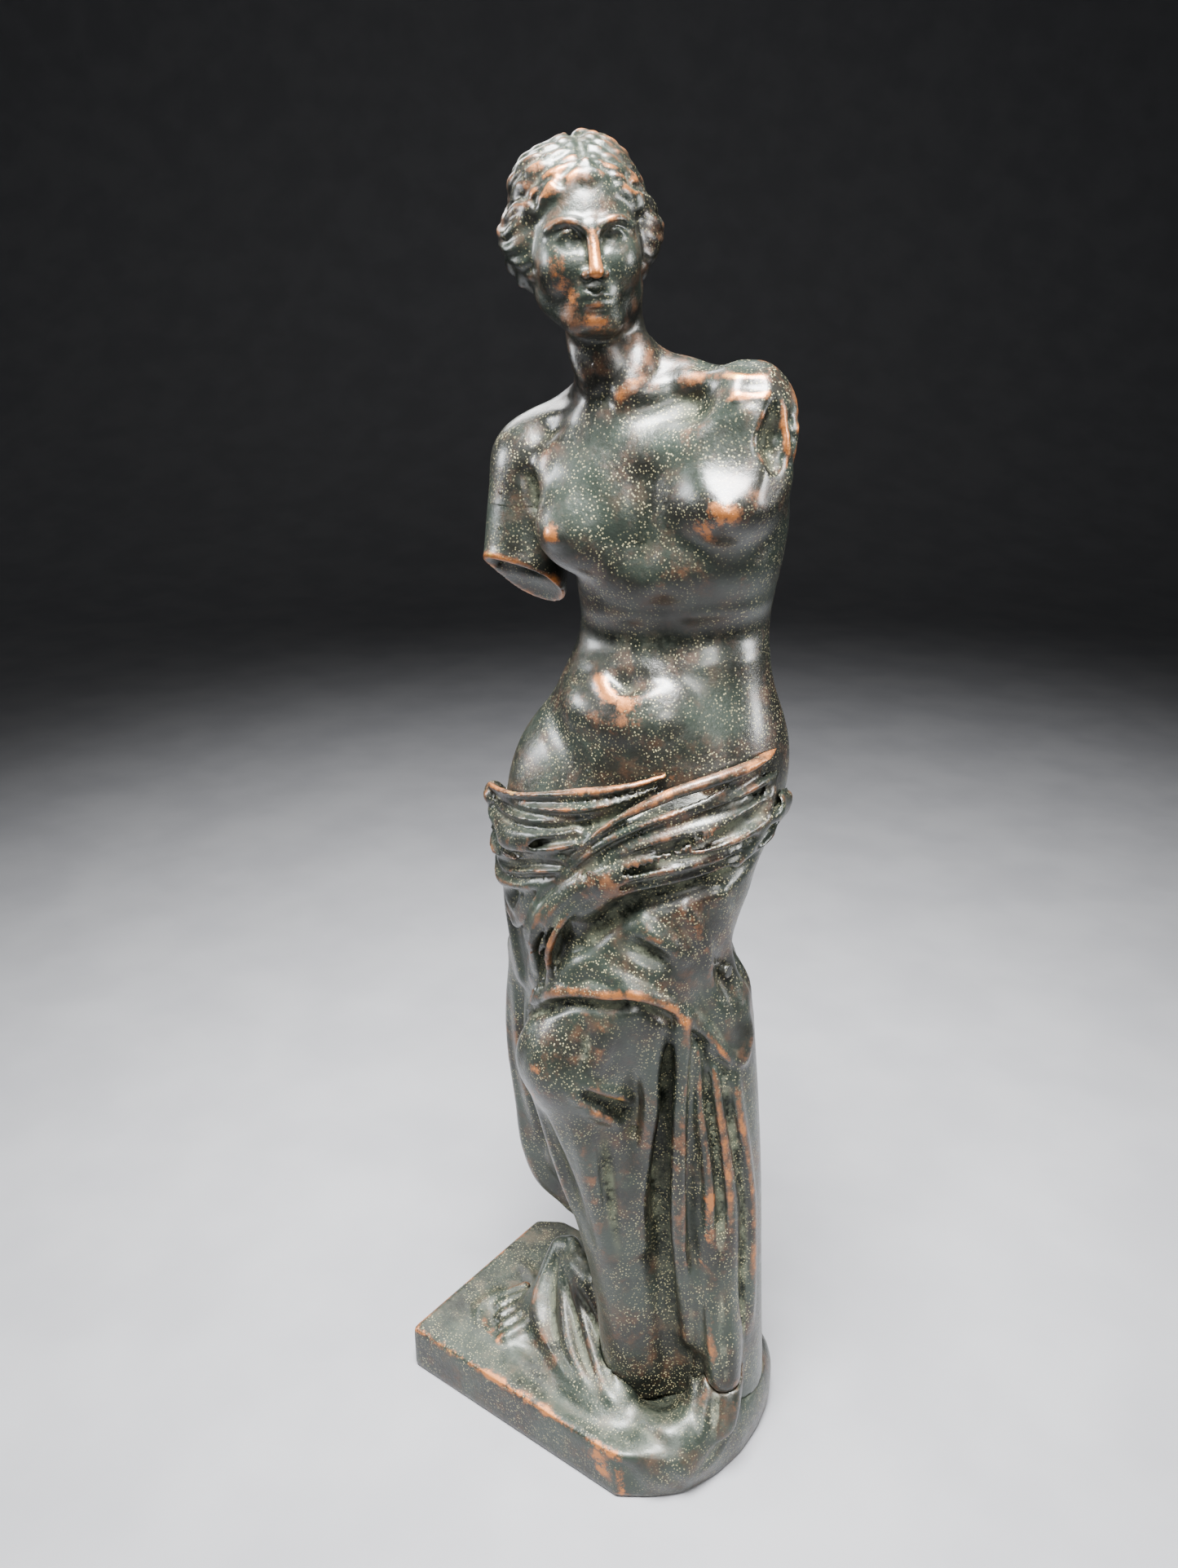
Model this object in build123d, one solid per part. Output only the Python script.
"""A classical draped statuette in sand-cast bronze, made as the founders made it: five castings
joined by hidden sleeves and driven pins, and bolted to a plinth that is open underneath.

Frame, in millimetres: origin at the centre of the plinth's underside, +Z up, the figure facing
-Y, so that its own left side is towards +X.
"""

from build123d import *

import os

# Driving dimensions
TOTAL_HEIGHT = 400.0
WALL = 4.0

PLINTH_WIDTH = 114.0
PLINTH_DEPTH = 77.0
PLINTH_HEIGHT = 18.0
PLINTH_EDGE_ROUND = 1.6
FRONT_EDGE_END_X = 34.0  # where the straight front edge gives way to the rocky side
BACK_EDGE_END_X = 44.0
BACK_CORNER_CUT = (9.0, 6.0)
FITTING_GAP = 0.3  # between the drapery's foot and the rock and toes beside it

FOOT_CENTRE = (-31.0, -17.0)  # the middle of the row of toes
FOOT_TURN = -31.0
TOE_PITCH = 3.8
TOE_COUNT = 5

# Each joint: its centre in plan, its height, its sleeve's half axes and its reach either way
WAIST = dict(centre=(10.0, 4.0), z=236.0, axes=(31.0, 18.5), reach=10.0)
NECK = dict(centre=(7.5, -4.2), z=342.0, axes=(6.5, 6.5), reach=7.0)
ARM = dict(centre=(-22.5, -6.5), z=309.0, axes=(6.5, 6.5), reach=7.0)
SLEEVE_WALL = 2.0
POCKET_SPARE = 4.0  # how much deeper a hollow casting's pocket runs than its sleeve

PIN_RADIUS = 1.1
PIN_OFFSET = 4.5  # each row of pins, above and below its joint
PLUG_RADIUS = 2.0

FLANGE_THICKNESS = 8.0
FLANGE_OPENING_CENTRE = (12.0, 4.0)
FLANGE_OPENING = (17.0, 11.0)
STUD_PLACES = [(-14.0, 4.0), (38.0, 6.0), (12.0, 24.0)]
STUD_RADIUS = 2.0
STUD_BOTTOM_Z = 5.0
STUD_TOP_Z = PLINTH_HEIGHT + FLANGE_THICKNESS
WASHER_RADIUS = 5.0
WASHER_THICKNESS = 1.0
NUT_SIDE = 8.0
NUT_THICKNESS = 4.0
NUT_CHAMFER = 0.6

# Level sections of each casting: height, centre x, centre y, half width, half depth, turn
DRAPERY_SECTIONS = [
    (18, 14, 4, 35, 27, 0),
    (30, 14, 4, 33, 26, 0),
    (52, 15, 5, 32, 26, 0),
    (78, 14, 4, 33, 27, 0),
    (104, 12, 2, 35, 30, 0),
    (128, 9, -1, 35, 33, 0),
    (148, 8, -3, 36, 34, 0),
    (168, 8, -3, 37, 33, 0),
    (192, 8, 0, 38, 31, 4),
    (214, 9, 3, 44, 31, 8),
    (228, 10, 3, 46, 31, 10),
    (236, 10, 4, 43, 29, 10),
]
TORSO_SECTIONS = [
    (236, 10, 4, 38, 25, 10),
    (250, 13, 5, 35.5, 24, 10),
    (264, 16.5, 6.5, 31, 22, 10),
    (277, 18, 7, 28, 20, 10),
    (292, 18.5, 4.5, 29.5, 21.5, 8),
    (306, 18, 2, 33, 22.5, 6),
    (320, 15, -1, 36, 20, 5),
    (332, 12.5, -3, 34, 16.5, 5),
    (339, 9.5, -3.8, 22, 13.5, 3),
    (342, 7.5, -4.2, 12.5, 12.5, 0),
]
HEAD_SECTIONS = [
    (342, 7.5, -4.2, 12.5, 12.5, 0),
    (350, 6, -6, 11.3, 11.3, 0),
    (358, 4, -9.5, 14.5, 16, 45),
    (367, 2.5, -12, 18.5, 20, 45),
    (377, 1.7, -13, 20.5, 22.5, 45),
    (387, 1.5, -12.5, 19.5, 21.5, 45),
    (395, 1.5, -12, 14.5, 16, 45),
    (TOTAL_HEIGHT, 1.5, -12, 5, 6, 45),
]
ARM_SECTIONS = [
    (281, -24.5, -8, 10.5, 10.5, 0),
    (296, -23.5, -7, 11, 11, 0),
    (309, -22.5, -6.5, 11.5, 11.5, 0),
]


def ellipsoid(centre, radii):
    """A solid ellipsoid with its axes along the frame's."""
    return Pos(*centre) * scale(Sphere(1), radii)


def slab(low, high):
    """Everything between two heights, for keeping one level band of a shape."""
    side = 3 * TOTAL_HEIGHT
    return Pos(0, 0, (low + high) / 2) * Box(side, side, high - low)


def column(centre, half_axes, low, high):
    """An upright elliptical column."""
    face = Plane.XY.offset(low) * Pos(*centre) * Ellipse(*half_axes)
    return extrude(face, amount=high - low)


def round_column(centre, radius, low, high):
    """An upright round column."""
    face = Plane.XY.offset(low) * Pos(*centre) * Circle(radius)
    return extrude(face, amount=high - low)


def lofted(sections, inset=0.0, low=0.0, high=TOTAL_HEIGHT):
    """A solid through the level sections between two heights, each shrunk by inset."""
    ovals = []
    for z, x, y, half_width, half_depth, turn in sections:
        if low <= z <= high:
            outline = Ellipse(half_width - inset, half_depth - inset)
            ovals.append(Plane.XY.offset(z) * Pos(x, y) * Rot(0, 0, turn) * outline)
    return loft(ovals)


# Sleeved joints
def pocket(joint, spare_below=0.0, spare_above=0.0):
    """The space a joint's sleeve fills, with any extra depth below and above."""
    low = joint["z"] - joint["reach"] - spare_below
    high = joint["z"] + joint["reach"] + spare_above
    return column(joint["centre"], joint["axes"], low, high)


def make_sleeve(joint):
    """The short tube that bridges two castings from inside."""
    bore_axes = tuple(axis - SLEEVE_WALL for axis in joint["axes"])
    low = joint["z"] - joint["reach"]
    high = joint["z"] + joint["reach"]
    return pocket(joint) - column(joint["centre"], bore_axes, low, high)


def level_bar(centre, z, turn, length, radius):
    """A round bar that runs level from a point outwards."""
    outwards = Vector(1, 0, 0).rotate(Axis.Z, turn)
    return extrude(Plane(origin=(*centre, z), z_dir=outwards) * Circle(radius), amount=length)


def joint_bars(joint, turns, length):
    """The pins' bars, a row above the joint and a row below it."""
    return [
        level_bar(joint["centre"], joint["z"] + side * PIN_OFFSET, turn, length, PIN_RADIUS)
        for side in (-1, 1)
        for turn in turns
    ]


def drive(bars, castings, names):
    """Drills each bar's hole through the named castings and returns the metal that fills it."""
    driven = []
    for bar in bars:
        bites = [castings[name] & bar for name in names]
        bites = [bite for bite in bites if bite is not None and bite.solids()]
        metal = bites[0]
        for bite in bites[1:]:
            metal = metal + bite
        driven.extend(metal.solids())
        for name in names:
            castings[name] = castings[name] - bar
    return driven


# The plinth
def plinth_outline(inset=0.0):
    """The plinth's plan, straight sides with one cut corner and a rounded rocky side, drawn in."""
    half_width = PLINTH_WIDTH / 2
    half_depth = PLINTH_DEPTH / 2
    cut_x, cut_y = BACK_CORNER_CUT

    def at(x, y):
        return (x * (1 - inset / half_width), y * (1 - inset / half_depth))

    with BuildSketch() as plan:
        with BuildLine():
            front = Line(at(-half_width, -half_depth), at(FRONT_EDGE_END_X, -half_depth))
            rocky = Spline(
                front @ 1,
                at(50.0, -24.0),
                at(half_width, 0.0),
                at(54.5, 22.0),
                at(BACK_EDGE_END_X, half_depth),
                tangents=[(1, 0.45), (-1, 0.35)],
            )
            back = Line(rocky @ 1, at(-half_width + cut_x, half_depth))
            corner = Line(back @ 1, at(-half_width, half_depth - cut_y))
            Line(corner @ 1, front @ 0)
        make_face()
    return plan.sketch


def make_rock():
    """The low rocky mound that rises on the plinth's left-foot side."""
    mound = ellipsoid((38, 2, PLINTH_HEIGHT - 6), (17, 31, 17))
    footprint = extrude(plinth_outline(1.0), amount=TOTAL_HEIGHT)
    return mound & footprint & slab(PLINTH_HEIGHT - 1, PLINTH_HEIGHT + 40)


def make_bare_foot():
    """The front of the right foot, with its toes, where it leaves the hem."""
    foot = ellipsoid((0, 14, 0), (9, 17, 9))
    for index in range(TOE_COUNT):
        toe_x = TOE_PITCH * (2 - index)
        toe_tip_y = 0.6 * index
        radius = 2.6 - 0.25 * index
        foot += ellipsoid((toe_x, toe_tip_y + 6, 1), (radius, 6, radius + 0.8))
    placed = Pos(*FOOT_CENTRE, PLINTH_HEIGHT) * Rot(0, 0, FOOT_TURN) * foot
    return placed & slab(PLINTH_HEIGHT - 1, PLINTH_HEIGHT + 20)


def make_plinth():
    """The base casting: an edge-rounded tray open below, with rock and foot cast on its top."""
    block = extrude(plinth_outline(), amount=PLINTH_HEIGHT)
    block = fillet(block.edges().group_by(Axis.Z)[-1], PLINTH_EDGE_ROUND)
    tray = block - extrude(plinth_outline(WALL), amount=PLINTH_HEIGHT - WALL)
    drapery_room = lofted(DRAPERY_SECTIONS, -FITTING_GAP, high=78)
    casting = tray + (make_rock() - drapery_room) + (make_bare_foot() - drapery_room)
    for place in STUD_PLACES:
        casting -= round_column(place, STUD_RADIUS, 0, PLINTH_HEIGHT)
    return casting


# The figure's castings
def make_drapery():
    """The draped lower half, with a flange at the foot for the studs and one at the waist."""
    casting = lofted(DRAPERY_SECTIONS) - lofted(DRAPERY_SECTIONS, WALL, low=30, high=214)
    casting -= pocket(WAIST, spare_below=14)
    casting -= column(FLANGE_OPENING_CENTRE, FLANGE_OPENING, PLINTH_HEIGHT - 1, 40)
    for place in STUD_PLACES:
        casting -= round_column(place, STUD_RADIUS, PLINTH_HEIGHT - 1, STUD_TOP_Z)
    return casting


def make_torso():
    """The bare torso, from the waist joint to the base of the neck, with both shoulders."""
    outside = lofted(TORSO_SECTIONS)
    outside += ellipsoid((-21, -6, 324), (14, 13, 13)) & slab(ARM["z"], TOTAL_HEIGHT)
    outside += round_column(ARM["centre"], 11.5, ARM["z"], ARM["z"] + 12)
    outside += ellipsoid((42, -1, 329), (12, 13, 15))
    for breast_x, breast_y in ((1, -15), (29, -12)):
        outside += ellipsoid((breast_x, breast_y, 306), (12, 12, 11))
    outside -= lofted(TORSO_SECTIONS, WALL, low=250, high=332)
    outside -= pocket(WAIST, spare_above=POCKET_SPARE + 2)
    outside -= pocket(NECK, spare_below=POCKET_SPARE)
    return outside - pocket(ARM)


def make_head():
    """The head and neck in one casting, hollow from the neck joint to the crown."""
    outside = lofted(HEAD_SECTIONS)
    outside -= lofted(HEAD_SECTIONS, WALL, low=350, high=395)
    return outside - pocket(NECK, spare_above=POCKET_SPARE)


def make_arm_stump():
    """The right upper arm down to its broken end, which slopes up towards the front."""
    beyond_break = Pos(-25, -17, 275) * Rot(-24, 0, 0) * Box(80, 80, 24)
    arm = lofted(ARM_SECTIONS) - beyond_break - pocket(ARM)
    return arm - lofted(TORSO_SECTIONS, -FITTING_GAP, low=277, high=332)


# Fasteners and plugs
def make_studs():
    """The studs screwed up into the foot flange."""
    return [round_column(place, STUD_RADIUS, STUD_BOTTOM_Z, STUD_TOP_Z) for place in STUD_PLACES]


def make_washers():
    """A flat washer under the plinth's top at each stud."""
    high = PLINTH_HEIGHT - WALL
    low = high - WASHER_THICKNESS
    return [
        round_column(place, WASHER_RADIUS, low, high) - round_column(place, STUD_RADIUS, low, high)
        for place in STUD_PLACES
    ]


def make_nuts():
    """A square nut, with its lower edges broken, below each washer."""
    high = PLINTH_HEIGHT - WALL - WASHER_THICKNESS
    low = high - NUT_THICKNESS
    nuts = []
    for x, y in STUD_PLACES:
        block = Pos(x, y, (low + high) / 2) * Box(NUT_SIDE, NUT_SIDE, NUT_THICKNESS)
        block = chamfer(block.edges().group_by(Axis.Z)[0], NUT_CHAMFER)
        nuts.append(block - round_column((x, y), STUD_RADIUS, low, high))
    return nuts


def plug_bars():
    """The bars whose metal closes the holes that the core pins left, by casting."""
    return {
        "drapery": [
            level_bar((14, 4), 60, 90, 60, PLUG_RADIUS),
            level_bar((8, 0), 150, 90, 60, PLUG_RADIUS),
            level_bar((8, 0), 180, 180, 60, PLUG_RADIUS),
            level_bar((8, 0), 180, 0, 60, PLUG_RADIUS),
        ],
        "torso": [
            level_bar((18, 7), 270, 90, 60, PLUG_RADIUS),
            level_bar((18, 3), 300, 90, 60, PLUG_RADIUS),
        ],
        "head": [level_bar((1.7, -13), 380, 135, 60, PLUG_RADIUS)],
    }


def make_nodes():
    """Every node by name: one solid, or a list of separate solids for a group."""
    nodes = {
        "plinth": make_plinth(),
        "drapery": make_drapery(),
        "torso": make_torso(),
        "head": make_head(),
        "arm_stump": make_arm_stump(),
        "waist_sleeve": make_sleeve(WAIST),
        "neck_sleeve": make_sleeve(NECK),
        "arm_sleeve": make_sleeve(ARM),
    }
    waist_bars = joint_bars(WAIST, (0, 90, 180, 270), 60)
    neck_bars = joint_bars(NECK, (30, 150, 270), 20)
    arm_bars = joint_bars(ARM, (180, 270), 20)
    waist_pins = drive(waist_bars, nodes, ("torso", "drapery", "waist_sleeve"))
    neck_pins = drive(neck_bars, nodes, ("torso", "head", "neck_sleeve"))
    arm_pins = drive(arm_bars, nodes, ("torso", "arm_stump", "arm_sleeve"))
    core_plugs = []
    for name, bars in plug_bars().items():
        core_plugs.extend(drive(bars, nodes, (name,)))
    nodes["waist_pins"] = waist_pins
    nodes["neck_pins"] = neck_pins
    nodes["arm_pins"] = arm_pins
    nodes["core_plugs"] = core_plugs
    nodes["base_studs"] = make_studs()
    nodes["base_washers"] = make_washers()
    nodes["base_nuts"] = make_nuts()
    return nodes


os.makedirs("parts", exist_ok=True)
for node, shape in make_nodes().items():
    solids = shape if isinstance(shape, list) else shape.solids()
    export_step(Compound(children=list(solids)), f"parts/{node}.step")
